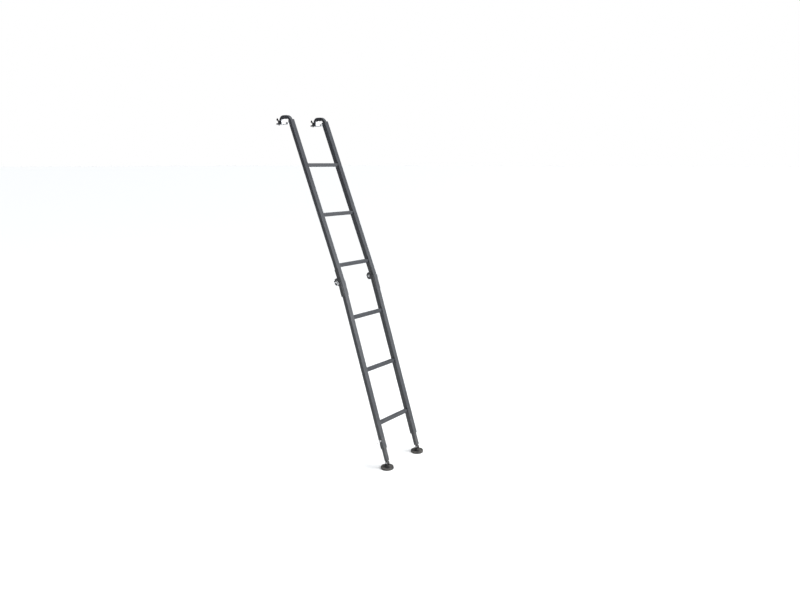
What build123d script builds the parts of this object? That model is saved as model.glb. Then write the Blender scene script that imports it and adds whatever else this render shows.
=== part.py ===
from build123d import *
import os
from math import cos, radians, sin, tan

# Folding ladder that hooks over the side bar of a roof rack and stands on the ground.
# Sizes are in millimetres. X runs along the rungs, Y towards the vehicle, Z up.
# The origin is the middle of the flat seat under the left hook.

# Ladder frame
rail_spacing = 270.0
rail_width = 27.0
rail_depth = 29.0
rail_wall = 2.0
rail_corner = 2.5
rail_round = 10.0
upper_rail_length = 962.0
lower_rail_length = 947.0
upper_lean = 23.0
lower_lean = 18.5
rail_joint_gap = 1.0

# Rungs: square tube set level, measured along the rails from the hinge line
rung_size = 20.0
rung_wall = 1.6
rung_corner = 2.5
rung_spacing = 300.0
third_rung_above_hinge = 88.0

# Hooks: bent flat bar with a rubber lined seat under the crown
bar_width = 21.0
bar_thickness = 16.0
bar_corner = 3.0
shank_length = 80.0
crown_length = 24.0
crown_bend_radius = 34.0
tip_bend_radius = 24.0
tip_length = 16.0
liner_thickness = 4.0
cap_thickness = 3.0
cap_sleeve = 20.0
cap_clearance = 0.1

# Clamp bracket that comes up under the rack bar, and its wing screw
lug_length = 24.0
lug_thickness = 5.0
bracket_width = 24.0
bracket_wall = 3.0
bracket_depth = 32.0
bracket_lip = 12.0
bracket_reach = 42.0
bracket_web_clearance = 4.5
screw_radius = 4.0
screw_clearance = 0.1
screw_hub_radius = 6.5
screw_hub_height = 11.0
wing_span = 39.0
wing_height = 18.0
wing_thickness = 4.0

# Hinges: two round notched leaves on each rail, with a through bolt behind the rails
pivot_behind_rail = 2.0
fork_disc_radius = 21.0
leaf_disc_radius = 22.0
hinge_plate = 2.5
hinge_running_gap = 0.4
strap_width = 22.0
fork_strap_length = 68.0
leaf_strap_length = 86.0
notch_radius = 3.5
notch_count = 5
notch_arc = 160.0
bush_radius = 6.0
bush_clearance = 0.5
pivot_radius = 4.0
pivot_running_gap = 0.05
bolt_head_radius = 6.5
bolt_head_height = 4.0
bolt_nut_radius = 7.0
bolt_nut_height = 6.0
fold_limit = 166.0

# Ring pull locks on the hinges and the legs
lock_circle_radius = 14.0
lock_angle = 225.0
lock_nose_radius = 3.0
lock_nose_clearance = 0.1
lock_boss_radius = 6.0
lock_boss_height = 4.0
lock_stem_height = 7.0
lock_hole_inset = 2.5
ring_diameter = 24.0
ring_wire = 2.5

# Sliding legs: smaller tube of the same form with a row of index holes
leg_width = 21.0
leg_depth = 21.0
leg_wall = 1.6
leg_corner = 2.0
leg_round = 7.0
leg_length = 373.0
leg_pin_below_rail = 84.0
leg_lock_above_end = 42.0
leg_hole_pitch = 25.0
leg_holes_below_lock = 2
leg_holes_above_lock = 6
guide_clearance = 0.3
guide_length = 25.0
guide_flange = 4.0

# Ankles and feet: round dish with two ears on a rubber sole
plug_length = 20.0
plug_clearance = 0.1
plug_shoulder = 4.0
shoulder_above_pin = 11.0
tongue_thickness = 10.0
tongue_radius = 8.0
pin_radius = 3.0
pin_head_radius = 5.0
pin_head_height = 2.0
ear_gap = 0.4
ear_thickness = 4.0
ear_radius = 8.5
pin_height = 32.0
sole_radius = 36.0
sole_thickness = 5.0
sole_edge = 1.5
dish_radius = 35.0
dish_floor = 3.0
dish_rim_height = 6.0
dish_rim_width = 4.0
boss_radius = 15.0
boss_height = 8.0

# Places worked out from the sizes above
half_width = rail_width / 2
half_depth = rail_depth / 2
side_flat_middle = (rail_corner - rail_round) / 2
strap_middle = rail_corner + strap_width / 2 - half_depth
pivot_offset = half_depth + pivot_behind_rail
mean_lean = (upper_lean + lower_lean) / 2
crown_z = liner_thickness + bar_thickness / 2
tip_y = crown_length / 2 + tip_bend_radius
tip_bottom = crown_z - tip_bend_radius - tip_length
leaf_inside = half_width + hinge_plate + hinge_running_gap
leaf_outside = leaf_inside + hinge_plate
fourth_rung_below_hinge = rung_spacing - third_rung_above_hinge


def along(lean):
    """Unit vector up a rail with this lean."""
    return Vector(0, sin(radians(lean)), cos(radians(lean)))


def behind(lean):
    """Unit vector from the front to the back of a rail with this lean."""
    return Vector(0, cos(radians(lean)), -sin(radians(lean)))


bend_rise = crown_bend_radius * (1 - sin(radians(upper_lean)))
bend_reach = crown_bend_radius * cos(radians(upper_lean))
rail_top = Vector(0, -crown_length / 2 - bend_reach, crown_z - bend_rise)
upper_hinge = rail_top - along(upper_lean) * upper_rail_length
pivot = upper_hinge + behind(upper_lean) * pivot_offset
lower_hinge = pivot - behind(lower_lean) * pivot_offset
ankle = lower_hinge - along(lower_lean) * (lower_rail_length + leg_pin_below_rail)
lug_top = tip_bottom + lug_thickness
screw_y = tip_y + bar_thickness / 2 + lug_length / 2


def rail_plane(start, lean, rail_x):
    """Plane across a rail: X along the rungs, Y to the back, Z up the rail."""
    return Plane(start + Vector(rail_x, 0, 0), x_dir=(1, 0, 0), z_dir=along(lean))


def side_plane(start, lean, rail_x):
    """Plane along a rail through its middle: X to the back, Y up the rail."""
    return Plane(start + Vector(rail_x, 0, 0), x_dir=behind(lean), z_dir=(1, 0, 0))


def upright_plane(rail_x):
    """Upright plane through the middle of a rail: X towards the vehicle, Y up."""
    return Plane((rail_x, 0, 0), x_dir=(0, 1, 0), z_dir=(1, 0, 0))


def tube_section(width, depth, corner, big_corner, inset, outboard):
    """Rail or leg section, inset from its outside, with a large radius at the outer back corner."""
    with BuildSketch() as section:
        Rectangle(width - 2 * inset, depth - 2 * inset)
        outer_back = section.vertices().filter_by(lambda v: v.X * outboard > 0 and v.Y > 0)
        other_corners = section.vertices().filter_by(lambda v: v.X * outboard < 0 or v.Y < 0)
        fillet(outer_back, big_corner - inset)
        fillet(other_corners, corner - inset)
    return section.sketch


def finish(piece, label):
    """Name a finished piece and write it out."""
    piece.part.label = label
    export_step(piece.part, f"parts/{label}.step")


os.makedirs("parts", exist_ok=True)
mitre = Plane(pivot, x_dir=(1, 0, 0), z_dir=along(mean_lean))

# Rungs of both sections, square tube butted between the rails
rungs = {
    "top_rung": (upper_hinge, upper_lean, third_rung_above_hinge + 2 * rung_spacing),
    "second_rung": (upper_hinge, upper_lean, third_rung_above_hinge + rung_spacing),
    "third_rung": (upper_hinge, upper_lean, third_rung_above_hinge),
    "fourth_rung": (lower_hinge, lower_lean, -fourth_rung_below_hinge),
    "fifth_rung": (lower_hinge, lower_lean, -fourth_rung_below_hinge - rung_spacing),
    "bottom_rung": (lower_hinge, lower_lean, -fourth_rung_below_hinge - 2 * rung_spacing),
}
for label, (start, lean, height) in rungs.items():
    rung_end = start + along(lean) * height + Vector(half_width, 0, 0)
    rung_bore = rung_size - 2 * rung_wall
    with BuildPart() as rung:
        with BuildSketch(Plane(rung_end, x_dir=(0, 1, 0), z_dir=(1, 0, 0))):
            RectangleRounded(rung_size, rung_size, rung_corner)
            RectangleRounded(rung_bore, rung_bore, rung_corner - rung_wall, mode=Mode.SUBTRACT)
        extrude(amount=rail_spacing - rail_width)
    finish(rung, label)

for side, rail_x, outboard in (("left", 0.0, -1), ("right", rail_spacing, 1)):
    upper = rail_plane(upper_hinge, upper_lean, rail_x)
    lower = rail_plane(lower_hinge, lower_lean, rail_x)
    upper_side = side_plane(upper_hinge, upper_lean, rail_x)
    lower_side = side_plane(lower_hinge, lower_lean, rail_x)
    upright = upright_plane(rail_x)
    rail_form = (rail_width, rail_depth, rail_corner, rail_round)
    leg_form = (leg_width, leg_depth, leg_corner, leg_round)
    rail_outside = tube_section(*rail_form, 0, outboard)
    rail_inside = tube_section(*rail_form, rail_wall, outboard)
    cap_sleeve_outside = tube_section(*rail_form, rail_wall + cap_clearance, outboard)
    guide_inside = tube_section(*leg_form, -guide_clearance, outboard)
    leg_outside = tube_section(*leg_form, 0, outboard)
    leg_inside = tube_section(*leg_form, leg_wall, outboard)
    plug_outside = tube_section(*leg_form, leg_wall + plug_clearance, outboard)

    # Upper rail, cut along the mitre and round the pivot bush, and stopping under its cap
    with BuildPart() as upper_rail:
        with BuildSketch(upper.offset(-half_depth)):
            add(rail_outside)
            add(rail_inside, mode=Mode.SUBTRACT)
        extrude(amount=half_depth + upper_rail_length - cap_thickness)
        split(bisect_by=mitre.offset(rail_joint_gap / 2), keep=Keep.TOP)
        with BuildSketch(upper_side.offset(-half_width)):
            with Locations((pivot_offset, 0)):
                Circle(bush_radius + bush_clearance)
        extrude(amount=rail_width, mode=Mode.SUBTRACT)
    finish(upper_rail, f"{side}_upper_rail")

    # Cap on the top of the upper rail, with a sleeve round the hook's shank
    with BuildPart() as rail_cap:
        with BuildSketch(upper.offset(upper_rail_length - cap_thickness)):
            add(rail_outside)
        extrude(amount=cap_thickness)
        with BuildSketch(upper.offset(upper_rail_length - cap_thickness)):
            add(cap_sleeve_outside)
        extrude(amount=-cap_sleeve)
        with BuildSketch(upper.offset(upper_rail_length)):
            RectangleRounded(bar_width + 2 * cap_clearance, bar_thickness + 2 * cap_clearance, bar_corner)
        extrude(amount=-cap_thickness - cap_sleeve, mode=Mode.SUBTRACT)
    finish(rail_cap, f"{side}_rail_cap")

    # Hook: bar bent over the crown and down to the tip, with a lug for the wing screw
    shank_end = rail_top - along(upper_lean) * shank_length
    crown_corner_y = rail_top.Y + bend_rise * tan(radians(upper_lean))
    with BuildPart() as hook:
        with BuildLine(upright):
            FilletPolyline(
                (shank_end.Y, shank_end.Z),
                (crown_corner_y, crown_z),
                (tip_y, crown_z),
                (tip_y, tip_bottom),
                radius=[crown_bend_radius, tip_bend_radius],
            )
        with BuildSketch(upper.offset(upper_rail_length - shank_length)):
            RectangleRounded(bar_width, bar_thickness, bar_corner)
        sweep()
        lug_start = tip_y - bar_thickness / 4
        with BuildSketch(Plane((rail_x, 0, tip_bottom))):
            with Locations((0, (lug_start + screw_y + lug_length / 2) / 2)):
                Rectangle(bar_width, screw_y + lug_length / 2 - lug_start)
        extrude(amount=lug_thickness)
        with Locations((rail_x, screw_y, lug_top)):
            Hole(screw_radius + screw_clearance)
    finish(hook, f"{side}_hook")

    # Rubber liner under the crown, whose flat underside is the seat
    with BuildPart() as hook_liner:
        with BuildSketch(Plane((rail_x, 0, 0))):
            Rectangle(bar_width, crown_length)
        extrude(amount=liner_thickness)
    finish(hook_liner, f"{side}_hook_liner")

    # Clamp bracket: bent alloy strip that cradles the rack bar from below
    web_y = tip_y - bar_thickness / 2 - bracket_web_clearance
    foot_end = screw_y + lug_length / 2
    with BuildPart() as clamp_bracket:
        with BuildSketch(upright.offset(-bracket_width / 2)):
            with BuildLine():
                Polyline(
                    (foot_end, -bracket_depth),
                    (web_y - bracket_reach, -bracket_depth),
                    (web_y - bracket_reach, -bracket_depth + bracket_lip),
                    (web_y - bracket_reach + bracket_wall, -bracket_depth + bracket_lip),
                    (web_y - bracket_reach + bracket_wall, -bracket_depth + bracket_wall),
                    (web_y - bracket_wall, -bracket_depth + bracket_wall),
                    (web_y - bracket_wall, -bracket_wall),
                    (web_y, -bracket_wall),
                    (web_y, -bracket_depth + bracket_wall),
                    (foot_end, -bracket_depth + bracket_wall),
                    close=True,
                )
            make_face()
        extrude(amount=bracket_width)
        with Locations((rail_x, screw_y, -bracket_depth + bracket_wall)):
            Hole(screw_radius + screw_clearance)
    finish(clamp_bracket, f"{side}_clamp_bracket")

    # Wing screw through the lug into the bracket
    screw_base = Plane((rail_x, screw_y, lug_top))
    wing_plane = Plane(screw_base.origin, x_dir=(1, 0, 0), z_dir=(0, -1, 0))
    with BuildPart() as wing_screw:
        with BuildSketch(screw_base):
            Circle(screw_hub_radius)
        extrude(amount=screw_hub_height)
        with BuildSketch(screw_base):
            Circle(screw_radius)
        extrude(amount=-lug_top - bracket_depth - bracket_wall)
        with BuildSketch(wing_plane.offset(-wing_thickness / 2)):
            with BuildLine():
                Polyline(
                    (0, screw_hub_height / 2),
                    (wing_span / 2, wing_height),
                    (wing_span / 2 - screw_hub_radius, screw_hub_height + wing_height),
                    (0, screw_hub_height),
                    (screw_hub_radius - wing_span / 2, screw_hub_height + wing_height),
                    (-wing_span / 2, wing_height),
                    close=True,
                )
            make_face()
        extrude(amount=wing_thickness)
    finish(wing_screw, f"{side}_wing_screw")

    # Hinge fork on the upper rail: two strap plates with discs, joined by the pivot bush
    with BuildPart() as hinge_fork:
        for face in (-1, 1):
            with BuildSketch(upper_side.offset(face * half_width)):
                with Locations((strap_middle, rail_joint_gap + fork_strap_length / 2)):
                    RectangleRounded(strap_width, fork_strap_length, rail_corner)
            extrude(amount=face * hinge_plate)
            with BuildSketch(upper_side.offset(face * (half_width + hinge_running_gap))):
                with Locations((pivot_offset, 0)):
                    Circle(fork_disc_radius)
            extrude(amount=face * (hinge_plate - hinge_running_gap))
        with BuildSketch(upper_side.offset(-half_width - hinge_plate)):
            with Locations((pivot_offset, 0)):
                Circle(bush_radius)
        extrude(amount=rail_width + 2 * hinge_plate)
        with BuildSketch(upper_side.offset(-half_width - hinge_plate)):
            with Locations((pivot_offset, 0)):
                Circle(pivot_radius + pivot_running_gap)
        extrude(amount=rail_width + 2 * hinge_plate, mode=Mode.SUBTRACT)
        with BuildSketch(lower_side.offset(outboard * (half_width + hinge_plate))):
            with Locations((pivot_offset, 0)):
                with PolarLocations(lock_circle_radius, 2, lock_angle, fold_limit, endpoint=True):
                    Circle(lock_nose_radius + lock_nose_clearance)
        extrude(amount=-outboard * hinge_plate, mode=Mode.SUBTRACT)
    finish(hinge_fork, f"{side}_hinge_fork")

    # Hinge leaf on the lower rail: outer notched discs and straps on packing plates
    notch_start = -notch_arc / 2
    with BuildPart() as hinge_leaf:
        for face in (-1, 1):
            with BuildSketch(lower_side.offset(face * leaf_inside)):
                with Locations((strap_middle, -leaf_strap_length / 2)):
                    RectangleRounded(strap_width, leaf_strap_length, rail_corner)
                with Locations((pivot_offset, 0)):
                    Circle(leaf_disc_radius)
                    with PolarLocations(
                        leaf_disc_radius, notch_count, notch_start, notch_arc, endpoint=True
                    ):
                        Circle(notch_radius, mode=Mode.SUBTRACT)
                    Circle(pivot_radius + pivot_running_gap, mode=Mode.SUBTRACT)
                if face == outboard:
                    with Locations((pivot_offset, 0)):
                        with PolarLocations(lock_circle_radius, 1, lock_angle):
                            Circle(lock_nose_radius + lock_nose_clearance, mode=Mode.SUBTRACT)
            extrude(amount=face * hinge_plate)
            packing_length = leaf_strap_length - leaf_disc_radius - 2 * rail_corner
            with BuildSketch(lower_side.offset(face * half_width)):
                with Locations((strap_middle, packing_length / 2 - leaf_strap_length)):
                    RectangleRounded(strap_width, packing_length, rail_corner)
            extrude(amount=face * (leaf_inside - half_width))
    finish(hinge_leaf, f"{side}_hinge_leaf")

    # Pivot bolt through fork, bush and leaf
    with BuildPart() as pivot_bolt:
        with BuildSketch(upper_side.offset(-leaf_outside - hinge_running_gap)):
            with Locations((pivot_offset, 0)):
                Circle(pivot_radius)
        extrude(amount=2 * (leaf_outside + hinge_running_gap))
        with BuildSketch(upper_side.offset(outboard * (leaf_outside + hinge_running_gap))):
            with Locations((pivot_offset, 0)):
                Circle(bolt_head_radius)
        extrude(amount=outboard * bolt_head_height)
        with BuildSketch(upper_side.offset(-outboard * (leaf_outside + hinge_running_gap))):
            with Locations((pivot_offset, 0)):
                RegularPolygon(bolt_nut_radius, 6)
        extrude(amount=-outboard * bolt_nut_height)
    finish(pivot_bolt, f"{side}_pivot_bolt")

    # Lower rail, cut along the mitre and round the pivot bush, with a hole for the leg lock
    leg_lock_height = leg_lock_above_end - lower_rail_length
    with BuildPart() as lower_rail:
        with BuildSketch(lower.offset(-lower_rail_length)):
            add(rail_outside)
            add(rail_inside, mode=Mode.SUBTRACT)
        extrude(amount=lower_rail_length + half_depth)
        split(bisect_by=mitre.offset(-rail_joint_gap / 2), keep=Keep.BOTTOM)
        with BuildSketch(lower_side.offset(-half_width)):
            with Locations((pivot_offset, 0)):
                Circle(bush_radius + bush_clearance)
        extrude(amount=rail_width, mode=Mode.SUBTRACT)
        with BuildSketch(lower_side.offset(outboard * half_width)):
            with Locations((side_flat_middle, leg_lock_height)):
                Circle(lock_nose_radius + lock_nose_clearance)
        extrude(amount=-outboard * rail_wall, mode=Mode.SUBTRACT)
    finish(lower_rail, f"{side}_lower_rail")

    # Guide bush in the open end of the lower rail
    with BuildPart() as leg_guide:
        with BuildSketch(lower.offset(-lower_rail_length)):
            add(rail_outside)
        extrude(amount=-guide_flange)
        with BuildSketch(lower.offset(-lower_rail_length)):
            add(rail_inside)
        extrude(amount=guide_length)
        with BuildSketch(lower.offset(guide_length - lower_rail_length)):
            add(guide_inside)
        extrude(amount=-guide_length - guide_flange, mode=Mode.SUBTRACT)
    finish(leg_guide, f"{side}_leg_guide")

    # Ring pull locks: one on the hinge leaf, one on the lower rail for the leg
    hinge_lock_back = pivot_offset + lock_circle_radius * cos(radians(lock_angle))
    hinge_lock_height = lock_circle_radius * sin(radians(lock_angle))
    lock_places = {
        "hinge_lock": (leaf_outside, hinge_plate, hinge_lock_back, hinge_lock_height),
        "leg_lock": (half_width, rail_wall, side_flat_middle, leg_lock_height),
    }
    ring_radius = (ring_diameter - ring_wire) / 2
    ring_rise = lock_boss_height + lock_stem_height - lock_hole_inset + ring_radius
    for name, (seat, wall, back, height) in lock_places.items():
        centre = lower_side * Pos(back, height)
        axle = Plane(centre.position, x_dir=behind(lower_lean), z_dir=(outboard, 0, 0))
        ring_middle = axle.offset(seat + ring_rise).origin
        with BuildPart() as lock:
            with BuildSketch(axle.offset(seat)):
                Circle(lock_boss_radius)
            extrude(amount=lock_boss_height)
            with BuildSketch(axle.offset(seat + lock_nose_clearance - wall)):
                Circle(lock_nose_radius)
            extrude(amount=wall + lock_boss_height + lock_stem_height - lock_nose_clearance)
            with BuildSketch(Plane(ring_middle, x_dir=(outboard, 0, 0), z_dir=along(lower_lean))):
                with Locations((ring_radius, 0)):
                    Circle(ring_wire / 2)
            revolve(axis=Axis(ring_middle, behind(lower_lean)))
        finish(lock, f"{side}_{name}")

    # Sliding leg: tube with index holes on its outer side
    leg_bottom = shoulder_above_pin + plug_shoulder - lower_rail_length - leg_pin_below_rail
    with BuildPart() as leg:
        with BuildSketch(lower.offset(leg_bottom)):
            add(leg_outside)
            add(leg_inside, mode=Mode.SUBTRACT)
        extrude(amount=leg_length)
        with BuildSketch(lower_side.offset(outboard * leg_width / 2)):
            for step in range(-leg_holes_below_lock, leg_holes_above_lock + 1):
                with Locations((side_flat_middle, leg_lock_height + step * leg_hole_pitch)):
                    Circle(lock_nose_radius + lock_nose_clearance)
        extrude(amount=-outboard * leg_wall, mode=Mode.SUBTRACT)
    finish(leg, f"{side}_leg")

    # Ankle plug in the end of the leg, with a round tongue for the pin
    ankle_side = side_plane(ankle, lower_lean, rail_x)
    ankle_across = rail_plane(ankle, lower_lean, rail_x)
    with BuildPart() as ankle_plug:
        with BuildSketch(ankle_across.offset(shoulder_above_pin)):
            add(leg_outside)
        extrude(amount=plug_shoulder)
        with BuildSketch(ankle_across.offset(shoulder_above_pin)):
            add(plug_outside)
        extrude(amount=plug_shoulder + plug_length)
        with BuildSketch(ankle_side.offset(-tongue_thickness / 2)):
            Circle(tongue_radius)
            with Locations((0, shoulder_above_pin / 2)):
                Rectangle(2 * tongue_radius, shoulder_above_pin)
            Circle(pin_radius + pivot_running_gap, mode=Mode.SUBTRACT)
        extrude(amount=tongue_thickness)
    finish(ankle_plug, f"{side}_ankle_plug")

    # Foot dish: raised rim, middle boss and two ears that carry the ankle pin
    ground = Plane((rail_x, ankle.Y, ankle.Z - pin_height))
    dish_bottom = ground.offset(sole_thickness)
    ear_inside = tongue_thickness / 2 + ear_gap
    ear_base = sole_thickness + dish_floor
    with BuildPart() as foot_dish:
        with BuildSketch(dish_bottom):
            Circle(dish_radius)
        extrude(amount=dish_rim_height)
        with BuildSketch(dish_bottom.offset(dish_floor)):
            Circle(dish_radius - dish_rim_width)
        extrude(amount=dish_rim_height - dish_floor, mode=Mode.SUBTRACT)
        with BuildSketch(dish_bottom):
            Circle(boss_radius)
        extrude(amount=dish_floor + boss_height)
        ankle_upright = Plane((rail_x, ankle.Y, ankle.Z), x_dir=(0, 1, 0), z_dir=(1, 0, 0))
        for face in (-1, 1):
            with BuildSketch(ankle_upright.offset(face * ear_inside)):
                Circle(ear_radius)
                with Locations((0, (ear_base - pin_height) / 2)):
                    Rectangle(2 * ear_radius, pin_height - ear_base)
                Circle(pin_radius + pivot_running_gap, mode=Mode.SUBTRACT)
            extrude(amount=face * ear_thickness)
    finish(foot_dish, f"{side}_foot_dish")

    # Ankle pin, headed on both sides of the ears
    ear_outside = ear_inside + ear_thickness
    with BuildPart() as ankle_pin:
        with BuildSketch(ankle_side.offset(-ear_outside - pin_head_height)):
            Circle(pin_radius)
        extrude(amount=2 * (ear_outside + pin_head_height))
        for face in (-1, 1):
            with BuildSketch(ankle_side.offset(face * ear_outside)):
                Circle(pin_head_radius)
            extrude(amount=face * pin_head_height)
    finish(ankle_pin, f"{side}_ankle_pin")

    # Rubber sole under the dish
    with BuildPart() as foot_sole:
        with BuildSketch(ground):
            Circle(sole_radius)
        extrude(amount=sole_thickness)
        chamfer(foot_sole.edges().filter_by(GeomType.CIRCLE), length=sole_edge)
    finish(foot_sole, f"{side}_foot_sole")
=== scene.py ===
from math import cos, pi, radians, sin

import bmesh
import bpy
from mathutils import Matrix, Vector


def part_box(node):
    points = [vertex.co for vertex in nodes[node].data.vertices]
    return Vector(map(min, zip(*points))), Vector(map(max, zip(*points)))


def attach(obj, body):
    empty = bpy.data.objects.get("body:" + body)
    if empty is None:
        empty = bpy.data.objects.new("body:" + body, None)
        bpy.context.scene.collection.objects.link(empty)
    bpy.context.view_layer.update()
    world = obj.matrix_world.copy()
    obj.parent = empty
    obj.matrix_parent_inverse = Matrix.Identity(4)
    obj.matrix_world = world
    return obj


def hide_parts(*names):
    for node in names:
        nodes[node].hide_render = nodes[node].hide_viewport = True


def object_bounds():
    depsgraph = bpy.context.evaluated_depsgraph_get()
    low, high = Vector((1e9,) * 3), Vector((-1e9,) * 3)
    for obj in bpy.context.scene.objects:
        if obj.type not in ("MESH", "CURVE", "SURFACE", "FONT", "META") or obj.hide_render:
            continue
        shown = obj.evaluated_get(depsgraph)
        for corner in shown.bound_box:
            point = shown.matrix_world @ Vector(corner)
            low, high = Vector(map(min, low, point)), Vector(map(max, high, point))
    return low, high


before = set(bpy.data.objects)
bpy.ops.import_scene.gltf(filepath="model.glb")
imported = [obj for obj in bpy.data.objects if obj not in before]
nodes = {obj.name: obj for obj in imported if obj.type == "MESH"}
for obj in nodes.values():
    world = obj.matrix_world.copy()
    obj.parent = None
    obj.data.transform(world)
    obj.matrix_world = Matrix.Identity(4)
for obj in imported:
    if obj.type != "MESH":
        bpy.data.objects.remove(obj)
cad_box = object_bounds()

# Rails
# Each rail is an aluminium tube of 27 by 29 mm, rounded at its outer back corner, in two lengths.
# The tube is extruded, sawn to length and powder coated in satin charcoal.
sides = ("left", "right")
charcoal = (0.019, 0.021, 0.027)
charcoal_thin = (0.044, 0.048, 0.057)
bare_aluminium = (0.42, 0.43, 0.45)
dust_colour = (0.23, 0.21, 0.18)
coat_grain_depth = 0.00006
rail_edge = 0.0004
join_distance = 0.000002
flat_angle = radians(0.5)
sharp_angle = radians(35.0)


def add_node(tree, kind, inputs, **settings):
    """Add a node, with its inputs by name or number as values or as sockets to link."""
    made = tree.nodes.new(kind)
    for key, value in settings.items():
        setattr(made, key, value)
    for key, value in inputs.items():
        if isinstance(value, bpy.types.NodeSocket):
            tree.links.new(value, made.inputs[key])
        else:
            made.inputs[key].default_value = value
    return made


def mixed(tree, share, first, second):
    """Colour socket that goes from the first colour to the second with a mask."""
    colours = {6: first, 7: second}
    for key, value in colours.items():
        if not isinstance(value, bpy.types.NodeSocket):
            colours[key] = (*value, 1.0)
    return add_node(tree, "ShaderNodeMix", {0: share, **colours}, data_type="RGBA").outputs[2]


def scaled(tree, value, low, high, new_low, new_high):
    """Value socket stretched from one range to another and clamped there."""
    limits = {"Value": value, "From Min": low, "From Max": high, "To Min": new_low, "To Max": new_high}
    return add_node(tree, "ShaderNodeMapRange", limits).outputs["Result"]


def calculated(tree, operation, *values):
    """Value socket of a calculation on one or two values."""
    return add_node(tree, "ShaderNodeMath", dict(enumerate(values)), operation=operation).outputs[0]


def product(tree, first, second):
    """Value socket of two values multiplied."""
    return calculated(tree, "MULTIPLY", first, second)


def noise(tree, place, scale, detail):
    """Value socket of a noise texture at a place."""
    texture = add_node(tree, "ShaderNodeTexNoise", {"Vector": place, "Scale": scale, "Detail": detail})
    return texture.outputs["Fac"]


def shader_group(name, inputs, outputs):
    """Empty shader node group with float inputs and outputs."""
    group = bpy.data.node_groups.new(name, "ShaderNodeTree")
    for label, value in inputs.items():
        socket = group.interface.new_socket(label, in_out="INPUT", socket_type="NodeSocketFloat")
        socket.default_value = value
    for label in outputs:
        group.interface.new_socket(label, in_out="OUTPUT", socket_type="NodeSocketFloat")
    return group, group.nodes.new("NodeGroupInput").outputs, group.nodes.new("NodeGroupOutput").inputs


def use_group(tree, group, **values):
    """Place a shared group in a material, with its own values."""
    made = add_node(tree, "ShaderNodeGroup", {}, node_tree=group)
    for label, value in values.items():
        made.inputs[label].default_value = value
    return made.outputs


# Grain: fine pebbled height and slow blotches, for coats, plastics and rubber
grain, given, put_out = shader_group(
    "surface grain", {"Pebbles": 900.0, "Blotches": 14.0}, ("Height", "Blotch")
)
place = add_node(grain, "ShaderNodeTexCoord", {}).outputs["Object"]
pebbles = noise(grain, place, given["Pebbles"], 2.0)
blotches = noise(grain, place, given["Blotches"], 5.0)
grain.links.new(pebbles, put_out["Height"])
grain.links.new(scaled(grain, blotches, 0.3, 0.7, 0.0, 1.0), put_out["Blotch"])

# Rub: where edges are handled and the coat is thin, broken up by noise
rub, given, put_out = shader_group("edge rub", {"Width": 0.0012, "Patches": 60.0}, ("Rub",))
place = add_node(rub, "ShaderNodeTexCoord", {}).outputs["Object"]
rounded = add_node(rub, "ShaderNodeBevel", {"Radius": given["Width"]}, samples=6).outputs["Normal"]
facing = add_node(rub, "ShaderNodeNewGeometry", {}).outputs["Normal"]
turned = add_node(
    rub, "ShaderNodeVectorMath", {0: rounded, 1: facing}, operation="DOT_PRODUCT"
).outputs["Value"]
patches = noise(rub, place, given["Patches"], 4.0)
edge_mask = scaled(rub, turned, 0.99, 0.90, 0.0, 1.0)
patch_mask = scaled(rub, patches, 0.42, 0.62, 0.0, 1.0)
rub.links.new(product(rub, edge_mask, patch_mask), put_out["Rub"])

# Dust: settles low down, thickest near the ground
ground = cad_box[0].z
dust, given, put_out = shader_group("ground dust", {"Reach": 0.30, "Amount": 0.3}, ("Dust",))
place = add_node(dust, "ShaderNodeTexCoord", {}).outputs["Object"]
height = add_node(dust, "ShaderNodeSeparateXYZ", {"Vector": place}).outputs["Z"]
above = calculated(dust, "SUBTRACT", height, ground)
share_up = calculated(dust, "DIVIDE", above, given["Reach"])
specks = add_node(
    dust, "ShaderNodeTexNoise", {"Vector": place, "Scale": 45.0, "Detail": 8.0, "Roughness": 0.7}
)
low_down = scaled(dust, share_up, 0.0, 1.0, 1.0, 0.0)
speck_mask = scaled(dust, specks.outputs["Fac"], 0.40, 0.75, 0.0, 1.0)
dust.links.new(product(dust, product(dust, low_down, speck_mask), given["Amount"]), put_out["Dust"])


def new_material(name, roughness, metallic=0.0):
    """Material with its Principled shader at a plain roughness and metallic value."""
    made = bpy.data.materials.new(name)
    made.use_nodes = True
    shader = made.node_tree.nodes["Principled BSDF"]
    shader.inputs["Roughness"].default_value = roughness
    shader.inputs["Metallic"].default_value = metallic
    return made, made.node_tree, shader.inputs


def bumped(tree, sockets, height, depth):
    """Raise the surface by a height socket, to a depth in metres."""
    bump = add_node(tree, "ShaderNodeBump", {"Strength": 1.0, "Distance": depth, "Height": height})
    tree.links.new(bump.outputs["Normal"], sockets["Normal"])


def powder_coat(name, colour, thin_colour, roughness):
    """Satin powder coat on metal, thinner and brighter along its edges, dusty near the ground."""
    made, tree, sockets = new_material(name, roughness)
    texture = use_group(tree, grain, Pebbles=1100.0, Blotches=9.0)
    worn = use_group(tree, rub, Width=0.0014, Patches=55.0)["Rub"]
    dusty = use_group(tree, dust, Reach=0.35, Amount=0.35)["Dust"]
    coat = mixed(tree, scaled(tree, texture["Blotch"], 0.0, 1.0, 0.0, 0.35), colour, thin_colour)
    handled = mixed(tree, scaled(tree, worn, 0.0, 1.0, 0.0, 0.45), coat, bare_aluminium)
    tree.links.new(mixed(tree, dusty, handled, dust_colour), sockets["Base Color"])
    gloss = scaled(tree, texture["Blotch"], 0.0, 1.0, roughness - 0.05, roughness + 0.06)
    tree.links.new(gloss, sockets["Roughness"])
    bumped(tree, sockets, texture["Height"], coat_grain_depth)
    return made


rail_coat = powder_coat("satin charcoal coat", charcoal, charcoal_thin, roughness=0.40)


def dress(names, material):
    """Give CAD nodes whose shape is right a finished material."""
    for name in names:
        mesh = nodes[name].data
        mesh.materials.clear()
        mesh.materials.append(material)


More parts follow.
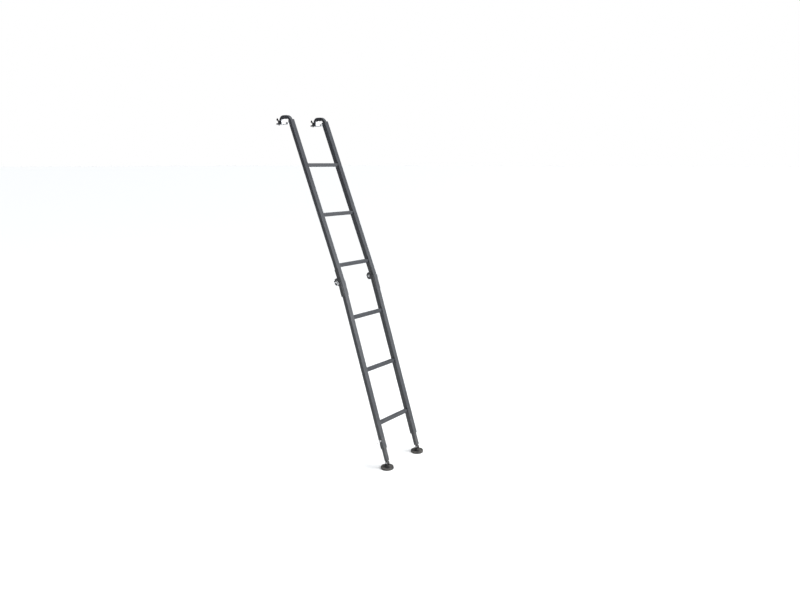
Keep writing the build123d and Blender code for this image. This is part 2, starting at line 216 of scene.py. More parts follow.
def mesh_piece(name, mesh, body, replaced=()):
    """Finish a mesh as a named piece that rides on a body."""
    piece = bpy.data.objects.new(name, mesh)
    bpy.context.scene.collection.objects.link(piece)
    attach(piece, body)
    if replaced:
        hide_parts(*replaced)


def baked(holder):
    """Plain mesh of an object with its modifiers carried out; the object itself goes."""
    depsgraph = bpy.context.evaluated_depsgraph_get()
    mesh = bpy.data.meshes.new_from_object(holder.evaluated_get(depsgraph), depsgraph=depsgraph)
    holder.modifiers.clear()
    bpy.data.objects.remove(holder)
    return mesh


def soften(node, edge, material, body):
    """Replace a CAD node by a copy with its triangles joined and its sharp edges slightly rounded."""
    mesh = nodes[node].data.copy()
    shape = bmesh.new()
    shape.from_mesh(mesh)
    bmesh.ops.remove_doubles(shape, verts=shape.verts, dist=join_distance)
    bmesh.ops.dissolve_limit(shape, angle_limit=flat_angle, verts=shape.verts, edges=shape.edges)
    shape.to_mesh(mesh)
    shape.free()
    mesh.shade_smooth()
    mesh.materials.clear()
    mesh.materials.append(material)
    holder = bpy.data.objects.new(f"{node}_blank", mesh)
    bpy.context.scene.collection.objects.link(holder)
    bevel = holder.modifiers.new("edges", "BEVEL")
    bevel.width = edge
    bevel.segments = 2
    bevel.limit_method = "ANGLE"
    bevel.angle_limit = sharp_angle
    holder.modifiers.new("normals", "WEIGHTED_NORMAL")
    mesh_piece(f"{node}_finished", baked(holder), body, (node,))


for side in sides:
    soften(f"{side}_upper_rail", rail_edge, rail_coat, "upper_section")
    soften(f"{side}_lower_rail", rail_edge, rail_coat, "lower_section")
rail_x = {side: sum(corner.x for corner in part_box(f"{side}_upper_rail")) / 2 for side in sides}
outward = {"left": -1.0, "right": 1.0}
half_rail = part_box("left_upper_rail")[1].x - rail_x["left"]


def middle(node):
    """Middle of a CAD node's box."""
    low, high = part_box(node)
    return (low + high) / 2


def rail_frame(point, up, x):
    """Matrix of a rail at a point: X along the rungs, Y to the back, Z up the rail."""
    across = Vector((1.0, 0.0, 0.0))
    back = Vector((0.0, up.z, -up.y))
    turn = Matrix((across, back, up)).transposed().to_4x4()
    return Matrix.Translation(Vector((x, point.y, point.z))) @ turn


upper_up = (middle("top_rung") - middle("third_rung")).normalized()
lower_up = (middle("fourth_rung") - middle("bottom_rung")).normalized()

# Rungs
# Each rung is a level 20 mm square aluminium tube with a ribbed tread, welded between the rails.
# The welds are small fillet beads run round each end, under the same charcoal coat.
rung_side = 0.020
rung_corner = 0.0025
tread_rib_count = 4
tread_rib_pitch = 0.0038
tread_rib_radius = 0.0007
tread_rib_end_gap = 0.006
weld_radius = 0.0021
weld_ripple = 0.22
weld_pitch = 0.0026
weld_steps_per_ripple = 6.0
bar_facets = 10
rungs_of = {
    "upper_section": ("top_rung", "second_rung", "third_rung"),
    "lower_section": ("fourth_rung", "fifth_rung", "bottom_rung"),
}
rung_coat = powder_coat("satin charcoal coat on rungs", charcoal, charcoal_thin, roughness=0.44)
dress([name for names in rungs_of.values() for name in names], rung_coat)


def geometry_tree(name, inputs):
    """Empty Geometry Nodes tree with a mesh in, a mesh out and named sizes."""
    tree = bpy.data.node_groups.new(name, "GeometryNodeTree")
    tree.interface.new_socket("Geometry", in_out="INPUT", socket_type="NodeSocketGeometry")
    for label, kind in inputs.items():
        tree.interface.new_socket(label, in_out="INPUT", socket_type=f"NodeSocket{kind}")
    tree.interface.new_socket("Geometry", in_out="OUTPUT", socket_type="NodeSocketGeometry")
    return tree, tree.nodes.new("NodeGroupInput").outputs, tree.nodes.new("NodeGroupOutput").inputs


def grown(tree, start, values):
    """Run a Geometry Nodes tree on a starting mesh and give back the plain mesh."""
    holder = bpy.data.objects.new("grown", start)
    bpy.context.scene.collection.objects.link(holder)
    modifier = holder.modifiers.new("grow", "NODES")
    modifier.node_group = tree
    for socket in tree.interface.items_tree:
        if socket.in_out == "INPUT" and socket.name in values:
            modifier[socket.identifier] = values[socket.name]
    mesh = baked(holder)
    mesh.shade_smooth()
    return mesh


def path_mesh(loops, closed):
    """Mesh of edges only, one chain of points for each loop."""
    points = [point for loop in loops for point in loop]
    edges = []
    start = 0
    for loop in loops:
        count = len(loop)
        edges += [(start + i, start + i + 1) for i in range(count - 1)]
        if closed:
            edges.append((start + count - 1, start))
        start += count
    mesh = bpy.data.meshes.new("path")
    mesh.from_pydata(points, edges, [])
    return mesh


def rounded_square(size, corner, steps=5):
    """Points round a square with rounded corners, in its own plane."""
    reach = size / 2 - corner
    points = []
    for quarter in range(4):
        turn = quarter * pi / 2
        middle_x = reach * (1 if quarter in (0, 3) else -1)
        middle_y = reach * (1 if quarter in (0, 1) else -1)
        for step in range(steps):
            angle = turn + pi / 2 * step / (steps - 1)
            points.append((middle_x + corner * cos(angle), middle_y + corner * sin(angle)))
    return points


def round_section(tree, radius):
    """Round profile curve of a bead or a bar."""
    values = {"Resolution": bar_facets, "Radius": radius}
    return add_node(tree, "GeometryNodeCurvePrimitiveCircle", values).outputs["Curve"]


def end_tree(tree, geometry, coat, put_out):
    """End a Geometry Nodes tree with real geometry that has its material."""
    solid = add_node(tree, "GeometryNodeRealizeInstances", {"Geometry": geometry})
    values = {"Geometry": solid.outputs["Geometry"], "Material": coat}
    coated = add_node(tree, "GeometryNodeSetMaterial", values)
    tree.links.new(coated.outputs["Geometry"], put_out["Geometry"])


# Weld bead: a round bead along a path, swelling and narrowing with each ripple
weld_tree, given, put_out = geometry_tree(
    "weld bead", {"Radius": "Float", "Ripple": "Float", "Pitch": "Float", "Coat": "Material"}
)
path = add_node(weld_tree, "GeometryNodeMeshToCurve", {"Mesh": given["Geometry"]}).outputs["Curve"]
fine_step = calculated(weld_tree, "DIVIDE", given["Pitch"], weld_steps_per_ripple)
fine_path = add_node(
    weld_tree, "GeometryNodeResampleCurve", {"Curve": path, "Length": fine_step}, mode="LENGTH"
)
run = add_node(weld_tree, "GeometryNodeSplineParameter", {}).outputs["Length"]
turns = calculated(weld_tree, "DIVIDE", run, given["Pitch"])
wave = calculated(weld_tree, "SINE", product(weld_tree, turns, pi))
swell = calculated(weld_tree, "ABSOLUTE", wave)
ripple = product(weld_tree, swell, given["Ripple"])
fullness = calculated(weld_tree, "SUBTRACT", 1.0, ripple)
section = round_section(weld_tree, given["Radius"])
bead = add_node(
    weld_tree,
    "GeometryNodeCurveToMesh",
    {"Curve": fine_path.outputs["Curve"], "Profile Curve": section, "Scale": fullness},
)
end_tree(weld_tree, bead.outputs["Mesh"], given["Coat"], put_out)

# Round rib: a round bar along a path, for tread ribs, moulded ribs, threads and wire
rib_tree, given, put_out = geometry_tree("round rib", {"Radius": "Float", "Coat": "Material"})
path = add_node(rib_tree, "GeometryNodeMeshToCurve", {"Mesh": given["Geometry"]}).outputs["Curve"]
section = round_section(rib_tree, given["Radius"])
rib = add_node(
    rib_tree, "GeometryNodeCurveToMesh", {"Curve": path, "Profile Curve": section, "Fill Caps": True}
)
end_tree(rib_tree, rib.outputs["Mesh"], given["Coat"], put_out)


def ribs(name, lines, radius, material, body, closed=False):
    """Piece of round ribs of one thickness along some lines."""
    mesh = grown(rib_tree, path_mesh(lines, closed), {"Radius": radius, "Coat": material})
    mesh_piece(name, mesh, body)


for body, names in rungs_of.items():
    weld_loops = []
    rib_lines = []
    for name in names:
        low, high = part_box(name)
        centre = (low + high) / 2
        for end_x in (low.x, high.x):
            outline = rounded_square(rung_side, rung_corner)
            weld_loops.append([Vector((end_x, centre.y + y, centre.z + z)) for y, z in outline])
        for row in range(tread_rib_count):
            y = centre.y + (row - (tread_rib_count - 1) / 2) * tread_rib_pitch
            line = (low.x + tread_rib_end_gap, y, high.z), (high.x - tread_rib_end_gap, y, high.z)
            rib_lines.append(line)
    weld_values = {"Radius": weld_radius, "Ripple": weld_ripple, "Pitch": weld_pitch, "Coat": rung_coat}
    weld_mesh = grown(weld_tree, path_mesh(weld_loops, closed=True), weld_values)
    mesh_piece(f"{body}_rung_welds", weld_mesh, body)
    ribs(f"{body}_tread_ribs", rib_lines, tread_rib_radius, rung_coat, body)

# Hooks
# Each hook is a solid aluminium bar bent over the rack's side bar, coated as the rails are.
# Its shank goes down inside the rail, and two rivets on each side hold it.
hook_coat = powder_coat("satin charcoal coat on hooks", charcoal, charcoal_thin, roughness=0.40)
hook_edge = 0.0008
hook_rivet_radius = 0.0035
hook_rivet_height = 0.0016
hook_rivets_above_top_rung = (0.211, 0.246)
side_flat = -0.00375
rivet_facets = 20
rivet_rim_radius_share = 1.14
rivet_rim_depth_share = 0.6
for side in sides:
    soften(f"{side}_hook", hook_edge, hook_coat, "upper_section")

# Rivet head: a flattened dome on a thin rim, set where each point faces
rivet_tree, given, put_out = geometry_tree(
    "rivet head", {"Radius": "Float", "Height": "Float", "Coat": "Material"}
)
ball = add_node(
    rivet_tree,
    "GeometryNodeMeshUVSphere",
    {"Segments": rivet_facets, "Rings": rivet_facets // 2, "Radius": given["Radius"]},
)
flatness = calculated(rivet_tree, "DIVIDE", given["Height"], given["Radius"])
flatten = add_node(rivet_tree, "ShaderNodeCombineXYZ", {"X": 1.0, "Y": 1.0, "Z": flatness})
dome = add_node(
    rivet_tree,
    "GeometryNodeTransform",
    {"Geometry": ball.outputs["Mesh"], "Scale": flatten.outputs["Vector"]},
)
rim_radius = product(rivet_tree, given["Radius"], rivet_rim_radius_share)
rim_depth = product(rivet_tree, given["Height"], rivet_rim_depth_share)
rim = add_node(
    rivet_tree,
    "GeometryNodeMeshCylinder",
    {"Vertices": rivet_facets, "Radius": rim_radius, "Depth": rim_depth},
)
head = add_node(rivet_tree, "GeometryNodeJoinGeometry", {"Geometry": dome.outputs["Geometry"]})
rivet_tree.links.new(rim.outputs["Mesh"], head.inputs["Geometry"])
facing = add_node(
    rivet_tree, "GeometryNodeInputNamedAttribute", {"Name": "facing"}, data_type="FLOAT_VECTOR"
)
turned_out = add_node(
    rivet_tree, "FunctionNodeAlignRotationToVector", {"Vector": facing.outputs["Attribute"]}, axis="Z"
)
heads = add_node(
    rivet_tree,
    "GeometryNodeInstanceOnPoints",
    {
        "Points": given["Geometry"],
        "Instance": head.outputs["Geometry"],
        "Rotation": turned_out.outputs["Rotation"],
    },
)
end_tree(rivet_tree, heads.outputs["Instances"], given["Coat"], put_out)


def rivets(name, spots, radius, height, material, body, slot):
    """Piece of rivet heads, one at each place and facing."""
    mesh = bpy.data.meshes.new("points")
    mesh.from_pydata([place for place, facing in spots], [], [])
    directions = mesh.attributes.new("facing", "FLOAT_VECTOR", "POINT")
    for item, (place, facing) in zip(directions.data, spots):
        item.vector = facing
    values = {"Radius": radius, "Height": height, "Coat": material}
    mesh_piece(name, grown(rivet_tree, mesh, values), body)


def both_faces(rung, up, heights, reach):
    """Places on the inner and outer faces of both rails, measured up the rail from a rung."""
    spots = []
    for side in sides:
        on_rail = rail_frame(middle(rung), up, rail_x[side])
        for face in (-1.0, 1.0):
            for height in heights:
                spots.append((on_rail @ Vector((face * reach, side_flat, height)), (face, 0.0, 0.0)))
    return spots


hook_spots = both_faces("top_rung", upper_up, hook_rivets_above_top_rung, half_rail)
hook_rivet = (hook_rivet_radius, hook_rivet_height, hook_coat)
rivets("hook_rivets", hook_spots, *hook_rivet, "upper_section", "black_tube")

# Rail caps
# Each cap is moulded in matt black plastic and closes the top of a rail round the hook's shank.
# A sleeve under it is pushed into the tube.
plastic_colour = (0.016, 0.016, 0.018)
plastic_worn = (0.045, 0.045, 0.048)
plastic_grain_depth = 0.00010
cap_edge = 0.0006


def moulded_plastic(name, roughness, dust_reach, dust_amount):
    """Matt moulded black plastic with a spark eroded texture, paler where it is scuffed."""
    made, tree, sockets = new_material(name, roughness)
    texture = use_group(tree, grain, Pebbles=1600.0, Blotches=30.0)
    worn = use_group(tree, rub, Width=0.0009, Patches=140.0)["Rub"]
    dusty = use_group(tree, dust, Reach=dust_reach, Amount=dust_amount)["Dust"]
    body = mixed(tree, scaled(tree, texture["Blotch"], 0.0, 1.0, 0.0, 0.3), plastic_colour, plastic_worn)
    scuffed = mixed(tree, scaled(tree, worn, 0.0, 1.0, 0.0, 0.8), body, plastic_worn)
    tree.links.new(mixed(tree, dusty, scuffed, dust_colour), sockets["Base Color"])
    gloss = scaled(tree, texture["Blotch"], 0.0, 1.0, roughness - 0.06, roughness + 0.06)
    tree.links.new(gloss, sockets["Roughness"])
    bumped(tree, sockets, texture["Height"], plastic_grain_depth)
    return made


cap_plastic = moulded_plastic("matt black plastic", roughness=0.50, dust_reach=0.2, dust_amount=0.2)
for side in sides:
    soften(f"{side}_rail_cap", cap_edge, cap_plastic, "upper_section")

# Hook liners
# Each liner is a pad of soft rubber glued under the hook's crown, so that the rack bar isn't scratched.
# It is cut from ribbed sheet, with the ribs along the rungs.
rubber_black = (0.013, 0.013, 0.014)
rubber_grey = (0.036, 0.036, 0.037)
rubber_line_depth = 0.0003
liner_edge = 0.0008


def soft_rubber(name, roughness, rib_scale, dust_reach, dust_amount):
    """Matt rubber with moulded lines across Y, greyer where it has bloomed."""
    made, tree, sockets = new_material(name, roughness)
    texture = use_group(tree, grain, Pebbles=700.0, Blotches=22.0)
    dusty = use_group(tree, dust, Reach=dust_reach, Amount=dust_amount)["Dust"]
    place = add_node(tree, "ShaderNodeTexCoord", {}).outputs["Object"]
    lines = add_node(
        tree, "ShaderNodeTexWave", {"Vector": place, "Scale": rib_scale}, bands_direction="Y"
    ).outputs["Fac"]
    body = mixed(tree, scaled(tree, texture["Blotch"], 0.0, 1.0, 0.0, 0.5), rubber_black, rubber_grey)
    tree.links.new(mixed(tree, dusty, body, dust_colour), sockets["Base Color"])
    bumped(tree, sockets, mixed(tree, 0.3, lines, texture["Height"]), rubber_line_depth)
    return made


liner_rubber = soft_rubber(
    "ribbed liner rubber", roughness=0.74, rib_scale=120.0, dust_reach=0.2, dust_amount=0.0
)
for side in sides:
    soften(f"{side}_hook_liner", liner_edge, liner_rubber, "upper_section")

# Clamp brackets
# Each bracket is a short length of plain extruded aluminium that comes up under the rack bar.
# The wing screw pulls it against the hook's lug.
alloy_colour = (0.60, 0.61, 0.63)
alloy_dull = (0.38, 0.39, 0.41)
bracket_edge = 0.0005
drawn_lines = (20.0, 1400.0, 1400.0)
drawn_line_depth = 0.00004


def drawn_metal(name, colour, dull_colour, roughness, stretch):
    """Plain metal with fine drawn lines, stretched along one axis, and duller patches."""
    made, tree, sockets = new_material(name, roughness, metallic=1.0)
    place = add_node(tree, "ShaderNodeTexCoord", {}).outputs["Object"]
    drawn = add_node(tree, "ShaderNodeMapping", {"Vector": place, "Scale": stretch}).outputs["Vector"]
    lines = noise(tree, drawn, 1.0, 3.0)
    patch = use_group(tree, grain, Pebbles=400.0, Blotches=40.0)["Blotch"]
    dulled = scaled(tree, patch, 0.0, 1.0, 0.0, 0.6)
    tree.links.new(mixed(tree, dulled, colour, dull_colour), sockets["Base Color"])
    tree.links.new(scaled(tree, lines, 0.3, 0.7, roughness - 0.08, roughness + 0.12), sockets["Roughness"])
    bumped(tree, sockets, lines, drawn_line_depth)
    return made


plain_alloy = drawn_metal(
    "drawn plain alloy", alloy_colour, alloy_dull, roughness=0.34, stretch=drawn_lines
)
for side in sides:
    soften(f"{side}_clamp_bracket", bracket_edge, plain_alloy, "upper_section")

# Wing screws
# Each wing screw is cast in one with its wings, threaded below and blackened.
# It goes down through the hook's lug into the bracket, with two turns of thread showing under it.
oxide_black = (0.018, 0.018, 0.020)
oxide_worn = (0.10, 0.10, 0.105)
oxide_grain_depth = 0.00012
wing_edge = 0.0009
thread_radius = 0.0040
thread_ridge = 0.00045
thread_pitch = 0.00125
thread_turns = 2
steps_per_turn = 24


def black_oxide(name, roughness):
    """Blackened steel, polished through to grey along its edges."""
    made, tree, sockets = new_material(name, roughness, metallic=0.55)
    texture = use_group(tree, grain, Pebbles=1300.0, Blotches=60.0)
    worn = use_group(tree, rub, Width=0.0010, Patches=180.0)["Rub"]
    body = mixed(tree, scaled(tree, texture["Blotch"], 0.0, 1.0, 0.0, 0.2), oxide_black, oxide_worn)
    tree.links.new(mixed(tree, worn, body, oxide_worn), sockets["Base Color"])
    bumped(tree, sockets, texture["Height"], oxide_grain_depth)
    return made


screw_black = black_oxide("black oxide", roughness=0.36)
thread_lines = []
for side in sides:
    soften(f"{side}_wing_screw", wing_edge, screw_black, "upper_section")
    screw_low, screw_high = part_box(f"{side}_wing_screw")
    axis_place = (screw_low + screw_high) / 2
    helix = []
    for step in range(thread_turns * steps_per_turn + 1):
        angle = 2 * pi * step / steps_per_turn
        rise = thread_ridge + thread_pitch * step / steps_per_turn
        spot = (thread_radius * cos(angle), thread_radius * sin(angle))
        helix.append((axis_place.x + spot[0], axis_place.y + spot[1], screw_low.z + rise))
    thread_lines.append(helix)
ribs("wing_screw_threads", thread_lines, thread_ridge, screw_black, "upper_section")

# Hinge plates
# Each hinge is four pressed steel plates: a fork riveted to the upper rail and notched leaves on the lower.
# The leaves stand on packing plates, so that their discs run outside the fork's; all are coated black.
hinge_black = (0.020, 0.021, 0.024)
hinge_thin = (0.052, 0.054, 0.060)
plate_edge = 0.0004
hinge_rivet_radius = 0.0032
hinge_rivet_height = 0.0014
fork_rivets_from_third_rung = (-0.053, -0.030)
leaf_rivets_from_fourth_rung = (0.138, 0.166)
hinge_coat = powder_coat("black coat on steel plate", hinge_black, hinge_thin, roughness=0.42)
for side in sides:
    soften(f"{side}_hinge_fork", plate_edge, hinge_coat, "upper_section")
    soften(f"{side}_hinge_leaf", plate_edge, hinge_coat, "lower_section")
fork_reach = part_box("left_hinge_fork")[1].x - rail_x["left"]
leaf_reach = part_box("left_hinge_leaf")[1].x - rail_x["left"]
fork_spots = both_faces("third_rung", upper_up, fork_rivets_from_third_rung, fork_reach)
leaf_spots = both_faces("fourth_rung", lower_up, leaf_rivets_from_fourth_rung, leaf_reach)
hinge_rivet = (hinge_rivet_radius, hinge_rivet_height, hinge_coat)
rivets("hinge_fork_rivets", fork_spots, *hinge_rivet, "upper_section", "hinge_plate")
rivets("hinge_leaf_rivets", leaf_spots, *hinge_rivet, "lower_section", "hinge_plate")

# Pivot bolts
# Each pivot is a zinc plated shoulder bolt with a domed socket head, a thin washer and a locking nut.
# It runs through the fork, its bush and the leaves.
zinc_colour = (0.62, 0.63, 0.65)
zinc_dull = (0.42, 0.42, 0.41)
zinc_grain_depth = 0.00003
hinge_running_gap = 0.0004
bolt_reach = leaf_reach + hinge_running_gap
shank_radius = 0.0040
washer_radius = 0.0075
washer_thickness = 0.00035
head_profile = (
    (0.0, 0.0020),
    (0.0024, 0.0020),
    (0.0024, 0.0037),
    (0.0028, 0.0040),
    (0.0044, 0.0036),
    (0.0057, 0.0027),
    (0.0064, 0.0014),
    (0.0065, 0.0006),
    (0.0065, 0.0),
    (washer_radius, 0.0),
    (washer_radius, -washer_thickness),
    (shank_radius, -washer_thickness),
    (shank_radius, -2 * bolt_reach),
)
nut_sides = 6
nut_profile = ((washer_radius, -washer_thickness), (washer_radius, 0.0), (0.0060, 0.0))
nut_hex_profile = (
    (0.0060, 0.0),
    (0.0070, 0.0004),
    (0.0070, 0.0041),
    (0.0063, 0.0046),
    (0.0053, 0.0046),
)
nut_collar_profile = (
    (0.0054, 0.0044),
    (0.0054, 0.0055),
    (0.0050, 0.0060),
    (0.0041, 0.0060),
    (0.0041, 0.0053),
    (0.0036, 0.0056),
    (0.0, 0.0056),
)


def axle_frame(x, centre, out):
    """Matrix at a place on a cross axis, with Z outward along the axis."""
    turn = Vector((out, 0.0, 0.0)).to_track_quat("Z", "Y").to_matrix().to_4x4()
    return Matrix.Translation(Vector((x, centre.y, centre.z))) @ turn


def turn_profile(shape, place, profile, steps=32):
    """Add a profile of radius and height points, turned round a frame's Z axis, to a shape."""
    rings = []
    for radius, height in profile:
        count = steps if radius else 1
        angles = [2 * pi * step / steps for step in range(count)]
        spots = [(radius * cos(angle), radius * sin(angle), height) for angle in angles]
        rings.append([shape.verts.new(place @ Vector(spot)) for spot in spots])
    for first, second in zip(rings, rings[1:]):
        for step in range(steps):
            after = (step + 1) % steps
            corners = [first[step % len(first)], first[after % len(first)]]
            corners += [second[after % len(second)], second[step % len(second)]]
            shape.faces.new(dict.fromkeys(corners))


def shaped(shape, material):
    """Plain mesh of a finished shape, smooth but for its sharp edges."""
    bmesh.ops.recalc_face_normals(shape, faces=shape.faces)
    for edge in shape.edges:
        edge.smooth = edge.calc_face_angle(0.0) < sharp_angle
    for face in shape.faces:
        face.smooth = True
    mesh = bpy.data.meshes.new("shaped")
    shape.to_mesh(mesh)
    shape.free()
    mesh.materials.append(material)
    return mesh


def zinc_plate(name, roughness):
    """Bright zinc plating, slightly clouded and duller in patches."""
    made, tree, sockets = new_material(name, roughness, metallic=1.0)
    texture = use_group(tree, grain, Pebbles=2200.0, Blotches=90.0)
    dulled = scaled(tree, texture["Blotch"], 0.0, 1.0, 0.0, 0.7)
    tree.links.new(mixed(tree, dulled, zinc_colour, zinc_dull), sockets["Base Color"])
    gloss = scaled(tree, texture["Blotch"], 0.0, 1.0, roughness - 0.06, roughness + 0.14)
    tree.links.new(gloss, sockets["Roughness"])
    bumped(tree, sockets, texture["Height"], zinc_grain_depth)
    return made


bright_zinc = zinc_plate("bright zinc plate", roughness=0.26)
for side in sides:
    bolt = f"{side}_pivot_bolt"
    pivot_place = middle(bolt)
    out = outward[side]
    head_frame = axle_frame(rail_x[side] + out * bolt_reach, pivot_place, out)
    nut_frame = axle_frame(rail_x[side] - out * bolt_reach, pivot_place, -out)
    bolt_shape = bmesh.new()
    turn_profile(bolt_shape, head_frame, head_profile)
    turn_profile(bolt_shape, nut_frame, nut_profile)
    turn_profile(bolt_shape, nut_frame, nut_hex_profile, steps=nut_sides)
    turn_profile(bolt_shape, nut_frame, nut_collar_profile)
    bolt_mesh = shaped(bolt_shape, bright_zinc)
    mesh_piece(f"{bolt}_finished", bolt_mesh, "upper_section", (bolt,))

# Ring pull locks
# Each lock is a turned and knurled zinc plated collar with a sprung plunger and a split wire pull ring.
# One sits on each hinge's outer leaf and one on each lower rail, above the leg.
collar_radius = 0.0060
collar_profile = (
    (0.0, 0.0),
    (collar_radius, 0.0),
    (collar_radius, 0.0028),
    (0.0052, 0.0040),
    (0.0034, 0.0040),
    (0.0034, 0.0047),
    (0.0029, 0.0050),
    (0.0029, 0.0100),
    (0.0022, 0.0108),
    (0.0, 0.0110),
)
knurl_count = 20
knurl_radius = 0.0004
knurl_top = 0.0026
ring_rise = 0.01925
ring_radius = 0.01075
ring_wire_radius = 0.00125
ring_steps = 48
knurl_lines = []
ring_loops = []
for side in sides:
    out = outward[side]
    for lock, seat in (("hinge_lock", leaf_reach), ("leg_lock", half_rail)):
        name = f"{side}_{lock}"
        lock_frame = axle_frame(rail_x[side] + out * seat, middle(name), out)
        lock_shape = bmesh.new()
        turn_profile(lock_shape, lock_frame, collar_profile)
        lock_mesh = shaped(lock_shape, bright_zinc)
        mesh_piece(f"{name}_collar", lock_mesh, "lower_section", (name,))
        for step in range(knurl_count):
            angle = 2 * pi * step / knurl_count
            spot = Vector((collar_radius * cos(angle), collar_radius * sin(angle), 0.0))
            knurl_lines.append((lock_frame @ spot, lock_frame @ (spot + Vector((0.0, 0.0, knurl_top)))))
        ring_middle = lock_frame @ Vector((0.0, 0.0, ring_rise))
        across = Vector((out, 0.0, 0.0))
        loop = []
        for step in range(ring_steps):
            angle = 2 * pi * step / ring_steps
            loop.append(ring_middle + (across * cos(angle) + lower_up * sin(angle)) * ring_radius)
        ring_loops.append(loop)
ribs("lock_knurls", knurl_lines, knurl_radius, bright_zinc, "lower_section")
ribs("lock_rings", ring_loops, ring_wire_radius, bright_zinc, "lower_section", closed=True)

# Leg guides
# Each guide is a moulded plastic bush pushed into the open end of the lower rail, with a flange under it.
# It keeps the sliding leg from rattling.
guide_edge = 0.0004
guide_plastic = moulded_plastic(
    "matt black guide plastic", roughness=0.46, dust_reach=0.3, dust_amount=0.3
)
for side in sides:
    soften(f"{side}_leg_guide", guide_edge, guide_plastic, "lower_section")

# Sliding legs
# Each leg is a smaller tube of the rail's form, with a row of punched index holes on its outer side.
# Its charcoal coat is marked lengthways where it has slid through the guide.
leg_edge = 0.0003
slide_stretch = (700.0, 700.0, 9.0)
lower_tilt = lower_up.rotation_difference(Vector((0.0, 0.0, 1.0))).to_euler()
leg_coat = powder_coat("satin charcoal coat on legs", charcoal, charcoal_thin, roughness=0.38)
leg_tree = leg_coat.node_tree
leg_sockets = leg_tree.nodes["Principled BSDF"].inputs
place = add_node(leg_tree, "ShaderNodeTexCoord", {}).outputs["Object"]
upright = add_node(
    leg_tree, "ShaderNodeMapping", {"Vector": place, "Rotation": lower_tilt}
).outputs["Vector"]
drawn_out = add_node(
    leg_tree, "ShaderNodeVectorMath", {0: upright, 1: slide_stretch}, operation="MULTIPLY"
).outputs["Vector"]
marks = noise(leg_tree, drawn_out, 1.0, 4.0)
plain_coat = leg_sockets["Base Color"].links[0].from_socket
mark_mask = scaled(leg_tree, marks, 0.62, 0.74, 0.0, 0.35)
leg_tree.links.new(mixed(leg_tree, mark_mask, plain_coat, bare_aluminium), leg_sockets["Base Color"])
for side in sides:
    soften(f"{side}_leg", leg_edge, leg_coat, f"{side}_leg")

# Ankle plugs
# Each plug is moulded plastic, driven into the end of the leg, with a round tongue for the ankle pin.
plug_edge = 0.0006
ankle_plastic = moulded_plastic(
    "matt black ankle plastic", roughness=0.50, dust_reach=0.3, dust_amount=0.45
)
for side in sides:
    soften(f"{side}_ankle_plug", plug_edge, ankle_plastic, f"{side}_leg")

# Feet
# Each foot is a moulded plastic dish with a raised rim, radial ribs and two ears for the ankle pin.
# A ribbed rubber sole is bonded under it, and a headed zinc plated pin holds it to the ankle.
dish_edge = 0.0007
dish_rib_count = 12
dish_rib_radius = 0.0013
dish_rib_inner = 0.0145
dish_rib_outer = 0.0320
dish_floor_height = 0.0081
foot_plastic = moulded_plastic(
    "matt black foot plastic", roughness=0.54, dust_reach=0.12, dust_amount=0.6
)
sole_rubber = soft_rubber(
    "ribbed sole rubber", roughness=0.80, rib_scale=60.0, dust_reach=0.10, dust_amount=0.7
)
sole_steps = 64
sole_radius = 0.036
sole_profile = (
    (0.0, 0.0005),
    (0.010, 0.0005),
    (0.010, 0.0),
    (0.016, 0.0),
    (0.0165, 0.0015),
    (0.0185, 0.0015),
    (0.019, 0.0),
    (0.025, 0.0),
    (0.0255, 0.0015),
    (0.0275, 0.0015),
    (0.028, 0.0),
    (0.0345, 0.0),
    (0.0355, 0.0004),
    (sole_radius, 0.0015),
    (sole_radius, 0.0035),
    (0.0355, 0.0046),
    (0.0345, 0.0050),
    (0.0, 0.0050),
)
sole_rib_count = 48
sole_rib_radius = 0.0006
sole_rib_span = (0.0014, 0.0036)
pin_reach = 0.0114
pin_profile = (
    (0.0, pin_reach),
    (0.0024, 0.0112),
    (0.0042, 0.0105),
    (0.0050, 0.0097),
    (0.0050, 0.0094),
    (0.0030, 0.0094),
)


def spokes(centre, count, inner, outer):
    """Pairs of points, in and out from an upright axis, at even angles and given radius and height."""
    up = Vector((0.0, 0.0, 1.0))
    lines = []
    for step in range(count):
        angle = 2 * pi * step / count
        outward_way = Vector((cos(angle), sin(angle), 0.0))
        lines.append([centre + outward_way * radius + up * height for radius, height in (inner, outer)])
    return lines


for side in sides:
    body = f"{side}_foot"
    soften(f"{side}_foot_dish", dish_edge, foot_plastic, body)
    foot_centre = Vector((rail_x[side], middle(f"{side}_foot_sole").y, ground))
    dish_ends = (dish_rib_inner, dish_floor_height), (dish_rib_outer, dish_floor_height)
    dish_lines = spokes(foot_centre, dish_rib_count, *dish_ends)
    ribs(f"{side}_dish_ribs", dish_lines, dish_rib_radius, foot_plastic, body)
    sole_shape = bmesh.new()
    turn_profile(sole_shape, Matrix.Translation(foot_centre), sole_profile, steps=sole_steps)
    sole_mesh = shaped(sole_shape, sole_rubber)
    mesh_piece(f"{side}_foot_sole_finished", sole_mesh, body, (f"{side}_foot_sole",))
    sole_ends = (sole_radius, sole_rib_span[0]), (sole_radius, sole_rib_span[1])
    sole_lines = spokes(foot_centre, sole_rib_count, *sole_ends)
    ribs(f"{side}_sole_ribs", sole_lines, sole_rib_radius, sole_rubber, body)
    pin_place = axle_frame(rail_x[side], middle(f"{side}_ankle_pin"), outward[side])
    pin_shape = bmesh.new()
    inner_half = [(radius, -height) for radius, height in reversed(pin_profile)]
    turn_profile(pin_shape, pin_place, (*pin_profile, *inner_half))
    pin_mesh = shaped(pin_shape, bright_zinc)
    mesh_piece(f"{side}_ankle_pin_finished", pin_mesh, body, (f"{side}_ankle_pin",))

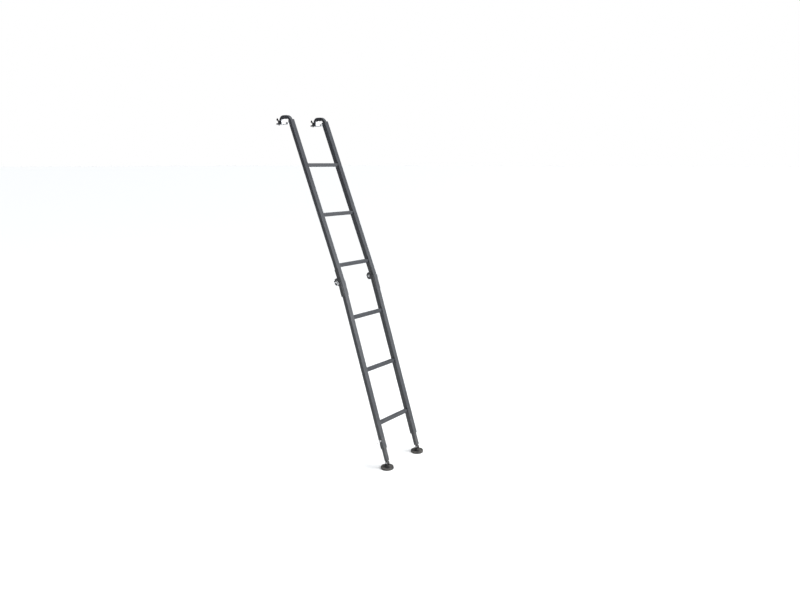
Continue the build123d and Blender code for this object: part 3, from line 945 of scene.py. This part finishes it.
# Stage
# The floor is plain and pale, under an even sky and two large soft boxes.
# The camera stands where the photograph's camera stood.
floor_size = 600.0
floor_colour = (0.86, 0.86, 0.86)
floor_material, _, floor_sockets = new_material("pale floor", roughness=0.7)
floor_sockets["Base Color"].default_value = (*floor_colour, 1.0)
floor_mesh = bpy.data.meshes.new("floor")
floor_half = floor_size / 2
floor_ways = ((-1.0, -1.0), (1.0, -1.0), (1.0, 1.0), (-1.0, 1.0))
floor_corners = [(x * floor_half, y * floor_half, ground) for x, y in floor_ways]
floor_mesh.from_pydata(floor_corners, [], [(0, 1, 2, 3)])
floor_mesh.materials.append(floor_material)
floor = bpy.data.objects.new("floor", floor_mesh)
bpy.context.scene.collection.objects.link(floor)

world = bpy.data.worlds.new("studio")
bpy.context.scene.world = world
world.use_nodes = True
world_tree = world.node_tree
background = world_tree.nodes["Background"]
bright_side = (0.45, -0.80, 0.40)
dark_side_from = -0.5
dark_side_share = 0.07
unlit = (0.0, 0.0, 0.0)
cool_white = (0.93, 0.97, 1.0)
plain_white = (1.0, 1.0, 1.0)
direction = add_node(world_tree, "ShaderNodeTexCoord", {}).outputs["Generated"]
towards = add_node(
    world_tree, "ShaderNodeVectorMath", {0: direction, 1: bright_side}, operation="DOT_PRODUCT"
)
wrap = scaled(world_tree, towards.outputs["Value"], dark_side_from, 1.0, dark_side_share, 1.0)
seen = add_node(world_tree, "ShaderNodeLightPath", {}).outputs["Is Camera Ray"]
lit = mixed(world_tree, wrap, unlit, cool_white)
world_tree.links.new(mixed(world_tree, seen, lit, plain_white), background.inputs["Color"])
background.inputs["Strength"].default_value = 1.0

ladder_middle = (cad_box[0] + cad_box[1]) / 2
front_place = Vector((2.2, -4.2, 0.6))
front_size = 2.6
front_power = 130.0
top_place = Vector((0.2, -0.6, 3.2))
top_size = 4.0
top_power = 30.0
sky_strength = 2.4
sky_spread = radians(50.0)
sky_direction = Vector((-0.15, 0.30, -0.94))


def soft_box(name, place, size, power):
    """Large square area light aimed at the ladder's middle."""
    light = bpy.data.lights.new(name, "AREA")
    light.size = size
    light.energy = power
    lamp = bpy.data.objects.new(name, light)
    bpy.context.scene.collection.objects.link(lamp)
    lamp.location = place
    lamp.rotation_euler = (ladder_middle - place).to_track_quat("-Z", "Y").to_euler()


soft_box("front softbox", front_place, front_size, front_power)
soft_box("top softbox", top_place, top_size, top_power)
sky_light = bpy.data.lights.new("even sky", "SUN")
sky_light.energy = sky_strength
sky_light.angle = sky_spread
sky_lamp = bpy.data.objects.new("even sky", sky_light)
bpy.context.scene.collection.objects.link(sky_lamp)
sky_lamp.rotation_euler = sky_direction.to_track_quat("-Z", "Y").to_euler()

photo_width = 800.0
photo_height = 600.0
focal_pixels = 658.2
axis_pixel = (403.8, 274.7)
camera_place = (-2.605, -2.9265, -0.2464)
camera_yaw = radians(51.61)
camera_pitch = radians(-9.67)
sensor = 36.0
camera_data = bpy.data.cameras.new("photo camera")
camera_data.sensor_width = sensor
camera_data.lens = focal_pixels * sensor / photo_width
camera_data.shift_x = (photo_width / 2 - axis_pixel[0]) / photo_width
camera_data.shift_y = (axis_pixel[1] - photo_height / 2) / photo_width
camera = bpy.data.objects.new("photo camera", camera_data)
bpy.context.scene.collection.objects.link(camera)
camera.location = camera_place
camera.rotation_euler = (pi / 2 + camera_pitch, 0.0, -camera_yaw)
bpy.context.scene.camera = camera
bpy.context.scene.view_settings.view_transform = "Standard"
